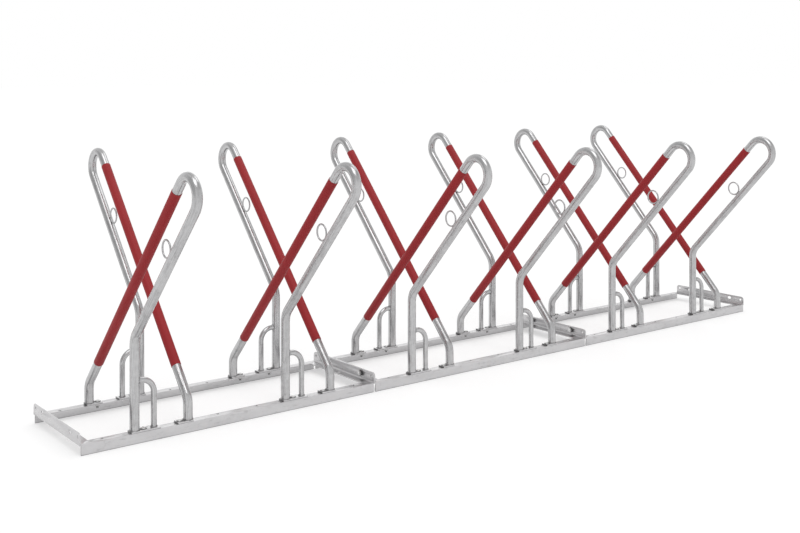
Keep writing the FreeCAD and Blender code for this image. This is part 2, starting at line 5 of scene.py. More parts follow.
import bpy
import numpy as np
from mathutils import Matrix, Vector


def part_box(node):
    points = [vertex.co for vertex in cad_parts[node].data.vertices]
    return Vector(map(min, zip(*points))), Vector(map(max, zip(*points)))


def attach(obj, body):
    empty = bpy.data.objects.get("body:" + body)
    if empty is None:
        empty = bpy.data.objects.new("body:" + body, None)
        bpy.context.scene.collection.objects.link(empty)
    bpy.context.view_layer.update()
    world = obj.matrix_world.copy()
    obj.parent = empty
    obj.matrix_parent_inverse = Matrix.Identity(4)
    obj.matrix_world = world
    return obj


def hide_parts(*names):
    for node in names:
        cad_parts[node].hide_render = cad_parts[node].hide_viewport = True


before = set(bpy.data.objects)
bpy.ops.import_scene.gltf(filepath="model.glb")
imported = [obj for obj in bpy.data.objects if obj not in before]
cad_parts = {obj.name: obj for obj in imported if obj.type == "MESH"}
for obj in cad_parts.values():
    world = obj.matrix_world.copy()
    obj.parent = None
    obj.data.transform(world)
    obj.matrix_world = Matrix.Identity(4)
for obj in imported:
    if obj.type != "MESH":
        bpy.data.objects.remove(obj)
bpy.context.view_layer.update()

bl_info = {
    "name": "Bicycle lean rack",
    "version": (1, 0, 0),
    "blender": (4, 5, 0),
    "location": "View3D > Sidebar > Rack",
    "description": "Smooth tubes, rolled angles, sleeves, fasteners, welds and finishes of a double-sided lean rack",
    "category": "Add Mesh",
}

MM = 0.001
EASED = 0.7 * MM  # radius of the eased edges of angles and plates
X, Y, Z = np.eye(3)
SIDES = ("near", "far")
HOOPS = range(1, 7)  # on each side
MODULES = range(1, 4)


def length(name, description, millimetres):
    """A size property, shown in Blender's units."""
    return bpy.props.FloatProperty(
        name=name, description=description, default=millimetres * MM, min=0.0, unit="LENGTH", precision=4
    )


def colour(name, description, default):
    """A colour property, in linear light."""
    return bpy.props.FloatVectorProperty(
        name=name, description=description, default=default, min=0.0, max=1.0, size=3, subtype="COLOR"
    )


class RackSizes(bpy.types.PropertyGroup):
    """Sizes of the rack's own pieces, the same as the frame's."""

    tube: length("Hoop tube", "Diameter of the hoop tube", 28)
    top_bend: length("Top bend", "Centre line radius of the half-turn bend", 52)
    short_knee: length("Short knee", "Centre line radius of the knee over the short leg", 50)
    long_knee: length("Long knee", "Centre line radius of the knee over the long leg", 60)
    short_leg: length("Short leg", "Straight part of the short leg", 40)
    hoop_height: length("Hoop height", "Ground to the top of a hoop", 792)
    incline: bpy.props.FloatProperty(
        name="Incline", description="Slope of the parallel runs", default=math.radians(47), subtype="ANGLE"
    )
    sleeve_start: length("Sleeve start", "From the short knee to the sleeve", 90)
    sleeve_length: length("Sleeve length", "Length of the plastic sleeve", 765)
    sleeve_gap: length("Sleeve clearance", "Clearance between sleeve and tube", 0.15)
    sleeve_wall: length("Sleeve wall", "Thickness of the sleeve", 0.85)
    ring: length("Lock ring", "Outside diameter of the lock ring", 54)
    ring_rod: length("Lock ring rod", "Rod of the lock ring", 5.5)
    ring_drop: length("Lock ring place", "From the top bend down the bare run to the ring", 197)
    guide: length("Wheel guide", "Diameter of the wheel guide's tube", 17)
    guide_bend: length("Wheel guide bend", "Centre line radius of the wheel guide's bend", 40)
    wall: length("Angle wall", "Thickness of the rails' and cross angles' legs", 3)
    rail_gap: length("Rail end gap", "How far a rail's upright leg stops short of the module's end", 4)
    rail_root: length("Rail root", "Radius inside the rails' angle", 4)
    cross_root: length("Cross angle root", "Radius inside the cross angles", 5)
    cross_corner: length("Cross angle corner", "Radius of the upright leg's top corners", 12)
    spare_hole: length("Spare hole", "Diameter of the rails' unused holes", 8)
    spare_inset: length("Spare hole inset", "From a rail's outer face to its spare holes", 21)
    spare_outer: length("Outer spare hole", "From the module's end to its first spare hole", 72)
    spare_inner: length("Inner spare hole", "From the module's end to its second spare hole", 434)
    link_height: length("Slot height", "Ground to the middle of slots and end holes", 49)
    slot_inset: length("Slot inset", "From the frame's side to the middle of a slot", 73)
    slot_length: length("Slot length", "Overall length of a slot", 17)
    slot_width: length("Slot width", "Width of a slot", 11)
    end_hole: length("End hole", "Diameter of the round end holes", 9)
    end_hole_inset: length("End hole inset", "From the frame's side to an end hole", 16)
    anchor_hole: length("Anchor hole", "Diameter of the ground anchor holes", 12)
    anchor_inset: length("Anchor hole inset", "From the module's end to its anchor hole", 18)
    foot_bolt: length("Foot bolt", "Diameter of the foot bolts", 8)
    dome: length("Domed head", "Diameter of the foot bolts' heads", 20)
    foot_nut: length("Foot nut", "Across the flats of the foot nuts", 13)
    joining_bolt: length("Joining bolt", "Diameter of the bolts that join the modules", 10)
    joining_flats: length("Joining heads", "Across the flats of their heads and nuts", 16)
    joining_head: length("Joining head height", "Height of a joining bolt's head", 6.4)
    washer: length("Washers", "Outside diameter of the washers", 19)
    washer_thickness: length("Washer thickness", "Thickness of the washers", 2)
    thread: length("Thread", "Depth of the threads", 0.6)
    pitch: length("Thread pitch", "Pitch of the threads", 1.4)
    weld: length("Welds", "Width of the weld beads", 4)


class RackColours(bpy.types.PropertyGroup):
    """Colours of the rack and of its stage."""

    zinc: colour("Zinc", "Galvanised angles", (0.59, 0.585, 0.592))
    zinc_dark: colour("Dark zinc", "Dull patches of the galvanised angles", (0.52, 0.515, 0.522))
    tube: colour("Tube", "Galvanised tubes", (0.515, 0.515, 0.52))
    tube_dark: colour("Dark tube", "Dark lines along the galvanised tubes", (0.345, 0.34, 0.345))
    plated: colour("Plated", "Zinc-plated fasteners", (0.62, 0.62, 0.62))
    sleeve: colour("Sleeve", "Plastic of the sleeves", (0.32, 0.018, 0.022))
    floor: colour("Floor", "Pale floor", (0.86, 0.86, 0.86))


# Surfaces. A surface is a dict of points, faces and UVs; several make one piece.


def grid(points, across=False, along=False, uv=None):
    """The surface through a grid of points of shape (rows, columns, 3); across and along close it round."""
    rows, columns = points.shape[:2]
    i = np.arange(rows if across else rows - 1)[:, None]
    j = np.arange(columns if along else columns - 1)[None, :]
    below, right = (i + 1) % rows, (j + 1) % columns
    quads = np.stack([i * columns + j, below * columns + j, below * columns + right, i * columns + right], -1)
    if uv is None:
        u, v = np.meshgrid(np.linspace(0, 1, rows), np.linspace(0, 1, columns), indexing="ij")
        uv = np.stack([u, v], -1)
    return {"points": points.reshape(-1, 3), "faces": [quads.reshape(-1, 4)], "uv": uv.reshape(-1, 2)}


def volume(surface):
    """Six times the signed volume inside a closed surface, from fans over its faces."""
    total = 0.0
    for faces in surface["faces"]:
        corners = surface["points"][faces]
        start = corners[:, :1]
        crossed = np.cross(corners[:, 1:-1] - start, corners[:, 2:] - start)
        total += float(np.einsum("fkc,fc->", crossed, start[:, 0]))
    return total


def outward(surface):
    """The surface with its faces turned to point out of it."""
    if volume(surface) < 0:
        surface["faces"] = [faces[:, ::-1] for faces in surface["faces"]]
    return surface


def moved(surface, matrix, offset):
    """The closed surface turned by a 3 by 3 matrix, then moved."""
    points = surface["points"] @ np.asarray(matrix, float).T + np.asarray(offset, float)
    return outward({**surface, "points": points})


def through(rings, uv=None, joined=False):
    """The closed surface through rings of points: joined end to end, or with a flat face at both ends."""
    surface = grid(rings, across=joined, along=True, uv=uv)
    if not joined:
        ring = np.arange(rings.shape[1])
        surface["faces"] += [ring[None, :], (len(surface["points"]) - 1 - ring)[None, :]]
    return outward(surface)


def unit(vectors):
    """Vectors of length one: v / |v|."""
    return vectors / np.linalg.norm(vectors, axis=-1, keepdims=True)


def circle(count):
    """Evenly spaced angles once round."""
    return np.linspace(0, math.tau, count, endpoint=False)


def around(r, a, z):
    """Points round the axis +Z: (r cos a, r sin a, z)."""
    return np.stack(np.broadcast_arrays(r * np.cos(a), r * np.sin(a), z), -1)


def run_of(points):
    """How far along a line each of its points is: the sum of the steps before it."""
    return np.concatenate([[0], np.cumsum(np.linalg.norm(np.diff(points, axis=0), axis=1))])


def bent_line(corners, radii):
    """The centre line through corners in a plane, each inner corner rounded by an arc tangent to both lines.

    Returns its points and its tangents: point = start + radius (side (1 - cos a) + arrive sin a).
    """
    step = math.radians(4)  # of turn between two points
    corners = np.asarray(corners, float)
    points, tangents = [corners[:1]], [unit(corners[1:2] - corners[:1])]
    for before, corner, after, radius in zip(corners, corners[1:], corners[2:], radii):
        arrive, leave = unit(corner - before), unit(after - corner)
        turn = math.atan2(arrive[0] * leave[1] - arrive[1] * leave[0], float(arrive @ leave))
        start = corner - arrive * radius * math.tan(abs(turn) / 2)
        side = math.copysign(1.0, turn) * np.array([-arrive[1], arrive[0]])
        a = np.linspace(0, abs(turn), max(2, math.ceil(abs(turn) / step) + 1))[:, None]
        points.append(start + radius * (side * (1 - np.cos(a)) + arrive * np.sin(a)))
        tangents.append(arrive * np.cos(a) + side * np.sin(a))
    points.append(corners[-1:])
    tangents.append(unit(corners[-1:] - corners[-2:-1]))
    return np.concatenate(points), np.concatenate(tangents)


def tube(points, tangents, binormal, radius, sides=48):
    """A round tube along a plane centre line: p(s) + r (cos a n(s) + sin a b), closed at both ends."""
    normals = np.cross(binormal, tangents)
    a = circle(sides)[None, :, None]
    rings = points[:, None] + radius * (np.cos(a) * normals[:, None] + np.sin(a) * binormal)
    uv = np.stack(np.broadcast_arrays(run_of(points)[:, None], a[:, :, 0] * radius), -1)
    return through(rings, uv)


def turned(profile, sides=40, joined=True):
    """A profile of (radius, height) points turned round +Z, with heights and arc lengths as UVs.

    A closed profile is joined into a ring, and an open one is flat at both ends.
    """
    profile = np.asarray(profile, float)
    a = circle(sides)
    r, z = profile[:, :1], profile[:, 1:]
    uv = np.stack(np.broadcast_arrays(z, a * r.max()), -1)
    return through(around(r, a, z), uv, joined)


def eased(edge, count):
    """An eased edge from a face round to a side: inset edge (1 - sin t) at height edge (1 - cos t)."""
    t = np.linspace(0, math.pi / 2, count)
    return edge * np.stack([1 - np.sin(t), 1 - np.cos(t)], -1)


def collar(inner, outer, height, edge, count):
    """The closed profile of a ring that stands on zero, its outer edges eased."""
    rim = np.array([outer, 0]) + eased(edge, count) * (-1, 1)
    top_rim = np.array([0, height]) + rim[::-1] * (1, -1)
    return np.concatenate([[(inner, 0)], rim, top_rim, [(inner, height)]])


def prism(section, low, high, edge=0.0):
    """A bar along its first axis: each point of its closed section runs from its own low end to its high end.
    The sharp edges of both ends can be cut off."""
    rows = [(low, section), (high, section)]
    if edge:
        drawn = drawn_in(section, edge)
        rows = [(low, drawn), (low + edge, section), (high - edge, section), (high, drawn)]
    ends = [np.column_stack([np.broadcast_to(end, len(flat)), flat]) for end, flat in rows]
    return through(np.stack(ends))


def hex_block(across_flats, low, high):
    """A hexagonal block: r = min(hexagon(a), cone(z)), where the hexagon is w / 2 / cos(angle from a flat) and
    the cone cuts the corners of the end at high."""
    sides, slope, chamfered, hollow = 72, math.radians(30), 0.94, 0.6
    a = circle(sides)
    outline = across_flats / 2 / np.cos((a + math.pi / 6) % (math.pi / 3) - math.pi / 6)
    corner, flat = outline.max(), across_flats / 2 * chamfered
    rise = (corner - flat) * math.tan(slope) * math.copysign(1, high - low)
    share = np.array([1.0, 0.66, 0.33, 0.0])
    z = np.concatenate([[low, low], high - rise * share, [high]])
    cone = np.concatenate([[flat, corner], flat + (corner - flat) * share, [hollow * flat]])
    r = np.minimum(outline[None, :], cone[:, None])
    return through(around(r, a, z[:, None]))


def threaded(diameter, low, high, pitch, depth):
    """A threaded end: r = r0 - depth (1 - |wave(z / pitch - a / 2 pi)|), drawn in over the last turn."""
    sides, rows_a_turn = 36, 6
    rows = max(4, int(abs(high - low) / pitch * rows_a_turn))
    z = np.linspace(low, high, rows)[:, None]
    a = circle(sides)[None, :]
    wave = 2 * np.abs((z / pitch - a / math.tau) % 1 - 0.5)
    full = np.clip(np.abs(z - high) / pitch, 0, 1)
    r = diameter / 2 - depth * (1 - wave * full)
    return through(around(r, a, z))


def drawn_in(loop, distance):
    """An anticlockwise outline with each side moved inwards: p + d (n1 + n2) / (1 + n1 . n2)."""
    sides = unit(np.roll(loop, -1, axis=0) - loop)
    after = np.stack([-sides[:, 1], sides[:, 0]], -1)
    before = np.roll(after, 1, axis=0)
    both = 1 + np.sum(before * after, axis=1, keepdims=True)
    return loop + distance * (before + after) / both


def slot(across, up, long, wide, count=26):
    """The outline of a hole or slot, from its right end round: two half circles, shifted apart."""
    a = circle(count)
    shift = (long - wide) / 2 * np.sign(np.cos(a))
    return np.stack([across + shift + wide / 2 * np.cos(a), up + wide / 2 * np.sin(a)], -1)


def plate(right, upper, lower, thickness, top_edge, bottom_edge=0.0, holes=()):
    """A flat plate with eased edges, the same on the left as on the right.

    Only the right half of its outline is given, anticlockwise: lower, the middle of the right end, and upper.
    With holes, each face is two faces that meet along a line through the ends and the holes.
    """
    upper, lower, mirror = np.array(upper, float), np.array(lower, float), (-1, 1)
    left_side = [upper[::-1] * mirror, np.array([right]) * mirror, lower[::-1] * mirror]
    outline = np.concatenate([[right], upper, *left_side, lower])
    loops = [outline, *holes]
    starts = np.cumsum([0] + [len(loop) for loop in loops])
    rise = eased(bottom_edge, 3 if bottom_edge else 1)
    levels = np.concatenate([rise, np.array([0, thickness]) + eased(top_edge, 3)[::-1] * (1, -1)])
    rings = []
    for inset, height in levels:
        flat = np.concatenate([drawn_in(outline, inset), *(drawn_in(hole, -inset) for hole in holes)])
        rings.append(np.column_stack([flat, np.full(len(flat), height)]))
    total = starts[-1]
    faces = []
    for index, loop in enumerate(loops):
        ring = starts[index] + np.arange(len(loop))
        following = np.roll(ring, -1)
        if index:
            ring, following = following, ring
        row = np.arange(len(levels) - 1)[:, None] * total
        quads = np.stack([row + ring, row + following, row + following + total, row + ring + total], -1)
        faces.append(quads.reshape(-1, 4))
    left = 2 * len(upper) + 1
    halves = [[*range(left + 1)], [*range(left, len(outline)), 0]]
    order = sorted(range(len(holes)), key=lambda index: holes[index][0][0])
    for index in order:
        start, count = starts[index + 1], len(holes[index])
        halves[0] += [start + step for step in range(count // 2, -1, -1)]
    for index in order[::-1]:
        start, count = starts[index + 1], len(holes[index])
        halves[1] += [start, *(start + step for step in range(count - 1, count // 2 - 1, -1))]
    if not holes:
        halves = [[*range(len(outline))]]
    for half in halves:
        faces.append(np.array([half]) + total * (len(levels) - 1))
        faces.append(np.array([half])[:, ::-1])
    points = np.concatenate(rings)
    return outward({"points": points, "faces": faces, "uv": points[:, :2].copy()})


def arc(centre, radius, start, end, count=5):
    """Points of an arc from one angle to another: centre + radius (cos a, sin a)."""
    a = np.linspace(start, end, count)
    return np.asarray(centre, float) + radius * np.stack([np.cos(a), np.sin(a)], -1)


def rounded_plate(half_long, half_wide, corner, thickness):
    """A rectangular plate with round corners and eased edges, its underside at zero."""
    x, y, quarter = half_long - corner, half_wide - corner, math.pi / 2
    upper, lower = arc((x, y), corner, 0, quarter), arc((x, -y), corner, -quarter, 0)
    return plate((half_long, 0), upper, lower, thickness, EASED, EASED)


def spun(turn):
    """A turn round +Z, as a matrix."""
    cos, sin = math.cos(turn), math.sin(turn)
    return np.array([[cos, -sin, 0], [sin, cos, 0], [0, 0, 1]])


def bead(path, width, seed, joined=True):
    """A weld bead along a path: a round section whose radius swells at each drop, w / 2 (0.9 + 0.2 |sin|).

    The path is joined end to end, or the bead tapers off at both ends.
    """
    sides, drop, uneven = 10, width * 0.55, 0.06
    slant = np.array([0.31, 0.42, 0.853])  # a direction that no bead runs in
    if joined:
        following = np.roll(path, -1, axis=0) - np.roll(path, 1, axis=0)
    else:
        following = np.gradient(path, axis=0)
    tangents = unit(following)
    normals = unit(np.cross(tangents, slant))
    binormals = np.cross(tangents, normals)
    run = run_of(path)
    s, drops = run / run[-1], max(3, round(run[-1] / drop))
    swell = 0.9 + 0.2 * np.abs(np.sin(math.pi * drops * s))
    r = width / 2 * (swell + np.random.default_rng(seed).uniform(-uneven, uneven, len(path)))
    if not joined:
        r = r * np.sqrt(np.clip(1 - (2 * s - 1) ** 6, 0.02, 1))
    a = circle(sides)[None, :, None]
    rings = path[:, None] + r[:, None, None] * (np.cos(a) * normals[:, None] + np.sin(a) * binormals[:, None])
    return through(rings, joined=joined)


def make_piece(name, surfaces, finish, replaces=(), sharp=40):
    """Joins surfaces into one object at the origin and hangs it on the frame.

    Edges over sharp degrees stay sharp.
    """
    sizes = np.cumsum([0] + [len(surface["points"]) for surface in surfaces])
    faces = [part + start for surface, start in zip(surfaces, sizes) for part in surface["faces"]]
    counts = np.concatenate([np.full(len(part), part.shape[1]) for part in faces])
    loops = np.concatenate([part.ravel() for part in faces])
    points = np.concatenate([surface["points"] for surface in surfaces])
    uvs = np.concatenate([surface["uv"] for surface in surfaces])
    mesh = bpy.data.meshes.new(name)
    mesh.vertices.add(len(points))
    mesh.vertices.foreach_set("co", points.astype(np.float32).ravel())
    mesh.loops.add(len(loops))
    mesh.loops.foreach_set("vertex_index", loops.astype(np.int32))
    mesh.polygons.add(len(counts))
    mesh.polygons.foreach_set("loop_start", np.concatenate([[0], np.cumsum(counts)[:-1]]).astype(np.int32))
    mesh.polygons.foreach_set("loop_total", counts.astype(np.int32))
    layer = mesh.uv_layers.new(name="UVMap")
    layer.data.foreach_set("uv", uvs[loops].astype(np.float32).ravel())
    mesh.update(calc_edges=True)
    if mesh.validate():
        raise ValueError(f"{name} has faces that Blender had to mend")
    mesh.shade_smooth()
    mesh.set_sharp_from_angle(angle=math.radians(sharp))
    piece = bpy.data.objects.new(name, mesh)
    bpy.context.scene.collection.objects.link(piece)
    mesh.materials.append(finish_named(finish))
    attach(piece, "root")
    if replaces:
        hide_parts(*replaces)


def make_fasteners(group, bolts, nuts, finish):
    """The two pieces of a group of fasteners, in place of its bolts and its nuts."""
    for kind, surfaces, replaced in (("screws", bolts, "bolts"), ("hex_nuts", nuts, "nuts")):
        make_piece(f"{group}_{kind}", surfaces, finish, [f"{group}_{replaced}"], sharp=30)


# Materials. Shader maths is written as Python expressions on sockets.


class Field:
    """A number, colour or vector that varies over a surface: one socket of a node tree."""

    def __init__(self, tree, socket):
        self.tree = tree
        self.socket = socket

    def math(self, operation, *others):
        """A Math node with this field first."""
        return add_node(self.tree, "Math", dict(enumerate((self, *others))), operation=operation)[0]

    def __add__(self, other):
        return self.math("ADD", other)

    def __sub__(self, other):
        return self.math("SUBTRACT", other)

    def __rsub__(self, other):
        return add_node(self.tree, "Math", {0: other, 1: self}, operation="SUBTRACT")[0]

    def __mul__(self, other):
        return self.math("MULTIPLY", other)

    __radd__, __rmul__ = __add__, __mul__

    def between(self, low, high):
        """0 below low, 1 above high, smooth between."""
        inputs = {0: self, 1: low, 2: high, 3: 0.0, 4: 1.0}
        return add_node(self.tree, "MapRange", inputs, interpolation_type="SMOOTHSTEP")[0]

    def axis(self, number):
        """One axis of this vector."""
        return add_node(self.tree, "SeparateXYZ", {0: self})[number]

    def mix(self, first, second):
        """A colour between two, by this field."""
        colours = [value if isinstance(value, Field) else (*value, 1.0) for value in (first, second)]
        inputs = {0: self, 6: colours[0], 7: colours[1]}
        return add_node(self.tree, "Mix", inputs, data_type="RGBA", blend_type="MIX")[2]


def add_node(tree, kind, inputs=None, **settings):
    """Adds a shader node, sets its settings, then fills its sockets with values or links; returns its outputs."""
    node = tree.nodes.new(f"ShaderNode{kind}")
    for name, value in settings.items():
        setattr(node, name, value)
    for name, value in (inputs or {}).items():
        if isinstance(value, Field):
            tree.links.new(value.socket, node.inputs[name])
        else:
            node.inputs[name].default_value = value
    return [Field(tree, socket) for socket in node.outputs]


def shaded(rgb, factor):
    """A colour made lighter or darker."""
    return tuple(min(1.0, channel * factor) for channel in rgb)


class Finish:
    """A material with one Principled BSDF, its textures read from Object coordinates or from the UV map."""

    def __init__(self, name):
        self.material = bpy.data.materials.new(name)
        self.material.use_nodes = True
        self.tree = self.material.node_tree
        self.bsdf = next(node for node in self.tree.nodes if node.type == "BSDF_PRINCIPLED")
        _, _, self.uv, self.place, *_ = add_node(self.tree, "TexCoord")

    def stretched(self, scale, place=None):
        """Coordinates scaled by axis, which draws a pattern out along the smallest scale."""
        inputs = {"Vector": place or self.place, "Scale": scale}
        return add_node(self.tree, "Mapping", inputs, vector_type="POINT")[0]

    def noise(self, scale, detail, roughness, place=None):
        """Smooth random tones round a half."""
        inputs = {"Vector": place or self.place, "Scale": scale, "Detail": detail, "Roughness": roughness}
        return add_node(self.tree, "TexNoise", inputs, noise_dimensions="3D")[0]

    def cells(self, scale):
        """Random tones, one to a cell."""
        inputs = {"Vector": self.place, "Scale": scale}
        cells = add_node(self.tree, "TexVoronoi", inputs, voronoi_dimensions="3D", feature="F1")
        return add_node(self.tree, "SeparateColor", {0: cells[1]})[0]

    def filled(self, tint, roughness, height, rise, strength, constants):
        """The material, once its sockets are filled; the bump rises by rise where the height is 1."""
        bump = add_node(self.tree, "Bump", {"Height": height, "Distance": rise, "Strength": strength})[0]
        for name, field in (("Base Color", tint), ("Roughness", roughness), ("Normal", bump)):
            self.tree.links.new(field.socket, self.bsdf.inputs[name])
        for name, value in constants.items():
            self.bsdf.inputs[name].default_value = value
        return self.material


def galvanised(name, light, dark, gloss, contrast, lines=None, edge=None):
    """Hot-dip galvanised steel: cloudy zinc with faint crystals, drawn-out lines, dull patches and specks.

    Each pattern has so many spots to a metre. Lines says how many on each axis, which draws the lines out along
    a bar; without it they follow the UV map of a tube. Below the height edge, and on faces that are turned along
    the row, such as cut ends, shade is painted into the colour: the steel is darkened there.
    """
    finish = Finish(name)
    if lines:
        along, thin = finish.stretched(lines), finish.stretched([3 * scale for scale in lines])
    else:
        along = finish.stretched((13.0, 280.0, 1.0), finish.uv)
        thin = finish.stretched((38.0, 560.0, 1.0), finish.uv)
    clouds = finish.noise(9.0, 4.0, 0.55)
    mottle = finish.noise(60.0, 4.0, 0.62)
    crystals = finish.cells(110.0)
    drawn = finish.noise(1.0, 3.0, 0.6, along)
    scratches = finish.noise(1.0, 2.0, 0.6, thin)
    specks = finish.noise(420.0, 2.0, 0.6)
    dull = (clouds * 0.22 + drawn * 0.62 + mottle * 0.16).between(0.41, 0.62)
    tint = (dull * contrast).mix(light, dark)
    frost = (crystals.between(0.5, 1.0) * 0.22 * contrast) * (0.3 + clouds)
    tint = frost.mix(tint, shaded(light, 1.22))
    marks = (mottle * 0.35 + scratches * 0.65).between(0.55, 0.67) * 0.60 * contrast
    tint = marks.mix(tint, shaded(dark, 0.5))
    # Painted shade: a painted contact shadow below the height edge, and painted shade on every face turned along the
    # row.
    if edge:
        blur = 0.8 * MM
        low = (1.0 - finish.place.axis(2).between(edge - blur, edge + blur)) * 0.5
        facing = add_node(finish.tree, "NewGeometry")[1]
        ends = facing.axis(0).math("ABSOLUTE").between(0.6, 0.9) * 0.85
        tint = low.math("MAXIMUM", ends).mix(tint, shaded(dark, 0.3))
    roughness = gloss + dull * 0.09 + crystals * 0.04 + specks * 0.04
    height = mottle * 0.20 + drawn * 0.60 + crystals * 0.05 + specks * 0.04
    return finish.filled(tint, roughness, height, 0.4 * MM, 0.5, {"Metallic": 1.0})


def plated(name, light, seat=None):
    """Zinc plating with fine marks, its sides darkened by painted shade so that the top reads bright.

    The painted shade runs up to just above the height seat, and is weaker under the rail. Without seat, washers and
    the first part of heads, nuts and bolt ends, along the UV map, are painted dark as shade.
    """
    finish = Finish(name)
    marks = finish.noise(300.0, 3.0, 0.6)
    patches = finish.noise(70.0, 2.0, 0.5)
    tint = (patches.between(0.45, 0.75) * 0.5).mix(light, shaded(light, 0.72))
    # Painted shade: the side mask marks the sides of heads and nuts, and the washers, to be darkened.
    if seat:
        height = finish.place.axis(2)
        side = 1.0 - height.between(seat + 0.4 * MM, seat + 3.0 * MM)
        side = side - (1.0 - height.between(seat - 10 * MM, seat - 6 * MM)) * 0.45
    else:
        side = 1.0 - finish.uv.axis(0).between(0.35, 0.8)
    # The painted shade goes into the colour here.
    tint = (side * 0.88).mix(tint, shaded(light, 0.13))
    return finish.filled(tint, 0.12 + marks * 0.12, marks, 0.2 * MM, 0.4, {"Metallic": 1.0})


def plastic(name, base):
    """Satin plastic sleeve: slightly uneven, with scuffs and faint lines along the tube."""
    finish = Finish(name)
    clouds = finish.noise(12.0, 3.0, 0.5)
    lines = finish.noise(1.0, 3.0, 0.6, finish.stretched((7.0, 900.0, 1.0), finish.uv))
    scuffs = finish.noise(160.0, 4.0, 0.65)
    tint = (clouds.between(0.35, 0.7) * 0.4).mix(base, shaded(base, 0.82))
    worn = scuffs.between(0.62, 0.78) * 0.16
    tint = worn.mix(tint, tuple(0.8 * channel + 0.06 for channel in base))
    roughness, height = 0.50 + clouds * 0.10 + worn * 0.5, lines * 0.35 + scuffs * 0.25
    return finish.filled(tint, roughness, height, 0.3 * MM, 0.5, {"Specular IOR Level": 0.28})


def finish_named(name):
    """One of the rack's finishes, made the first time it is asked for."""
    made = bpy.data.materials.get(name)
    if made:
        return made
    colours = bpy.context.scene.rack_colours
    zinc, zinc_dark, bright = tuple(colours.zinc), tuple(colours.zinc_dark), tuple(colours.plated)
    plate_top = frame_box("near_leg_plates")[1][2]
    along, across = 9.0, 60.0  # lines to a metre of a bar
    makers = {
        "galvanised_tube": (galvanised, tuple(colours.tube), tuple(colours.tube_dark), 0.12, 0.8),
        # For the rail and the plate, the last number is the height below which painted shade darkens the steel.
        "galvanised_rail": (galvanised, zinc, zinc_dark, 0.27, 0.5, (along, across, across), 2 * MM),
        "galvanised_cross": (galvanised, zinc, zinc_dark, 0.24, 0.4, (across, along, across)),
        "galvanised_plate": (galvanised, zinc, zinc_dark, 0.24, 0.5, (30.0, 30.0, across), plate_top - 3.4 * MM),
        "galvanised_weld": (galvanised, shaded(zinc, 0.6), shaded(zinc, 0.4), 0.30, 1.2, (80.0, 80.0, 80.0)),
        "plated_foot": (plated, bright, plate_top),
        "plated_joining": (plated, bright),
        "sleeve_plastic": (plastic, tuple(colours.sleeve)),
    }
    maker, *values = makers[name]
    return maker(name, *values)


# Places, read from the frame.


def frame_box(name):
    """The low and the high corner of one node of the frame."""
    return [np.array(corner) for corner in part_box(name)]


class Hoop:
    """One hoop: where it stands and the corners of its centre line in its plane, which is square to the row.

    In the plane, across counts towards the short leg and up from the ground.
    """

    def __init__(self, side, number):
        sizes = bpy.context.scene.rack_sizes
        low, high = frame_box(f"{side}_hoop_{number}")
        self.side, self.number = side, number
        self.lean = -1.0 if side == "near" else 1.0
        self.x = (low[0] + high[0]) / 2
        self.foot = low[2]
        self.reach = (high[1] if side == "near" else -low[1]) - sizes.tube / 2
        slope, bend = sizes.incline, sizes.top_bend
        self.run = np.array([-math.cos(slope), math.sin(slope)])
        self.square = np.array([math.sin(slope), math.cos(slope)])
        knee_reach = sizes.short_knee * math.tan((math.pi / 2 - slope) / 2)
        knee = np.array([self.reach, self.foot + sizes.short_leg + knee_reach])
        bend_height = sizes.hoop_height - sizes.tube / 2 - bend
        climb = (bend_height + self.square[1] * bend - knee[1]) / self.run[1]
        self.centre = knee + self.run * climb - self.square * bend
        self.knee_end = knee + self.run * knee_reach
        bare_top = self.centre - self.square * bend
        long_knee = bare_top - self.run * (self.reach + bare_top[0]) / self.run[0]
        self.corners = [
            (-self.reach, self.foot), long_knee, bare_top + self.run * bend, knee + self.run * (climb + bend),
            knee, (self.reach, self.foot),
        ]
        self.radii = [sizes.long_knee, bend, bend, sizes.short_knee]

    def world(self, flat):
        """Points of the plane in the world."""
        flat = np.asarray(flat, float)
        return np.stack([np.full(flat.shape[:-1], self.x), -self.lean * flat[..., 0], flat[..., 1]], -1)

    def direction(self, flat):
        """Directions in the plane, in the world."""
        return self.world(flat) * (0.0, 1.0, 1.0)

    @property
    def long_foot(self):
        """The middle of the long leg's foot."""
        return self.world((-self.reach, self.foot))

    @property
    def short_foot(self):
        """The middle of the short leg's foot."""
        return self.world((self.reach, self.foot))


def hoops_of(*sides):
    """The hoops of one side or both."""
    return [Hoop(side, number) for side in sides for number in HOOPS]


def places_of(side):
    """Where a side's hoops stand along the row, in order."""
    return sorted(hoop.x for hoop in hoops_of(side))


def guide_place(side, sizes):
    """The hand of a side's wheel guides along the row, how far from the long leg theirs is, and their level."""
    low, high = frame_box(f"{side}_wheel_guides")
    places = places_of(side)
    hand = 1.0 if side == "near" else -1.0
    reach = high[0] - places[-1] if side == "near" else places[0] - low[0]
    return hand, reach - sizes.guide / 2, high[2] - sizes.guide / 2


class RackOperator(bpy.types.Operator):
    """Builds a part of the rack."""

    bl_options = {"REGISTER", "UNDO"}


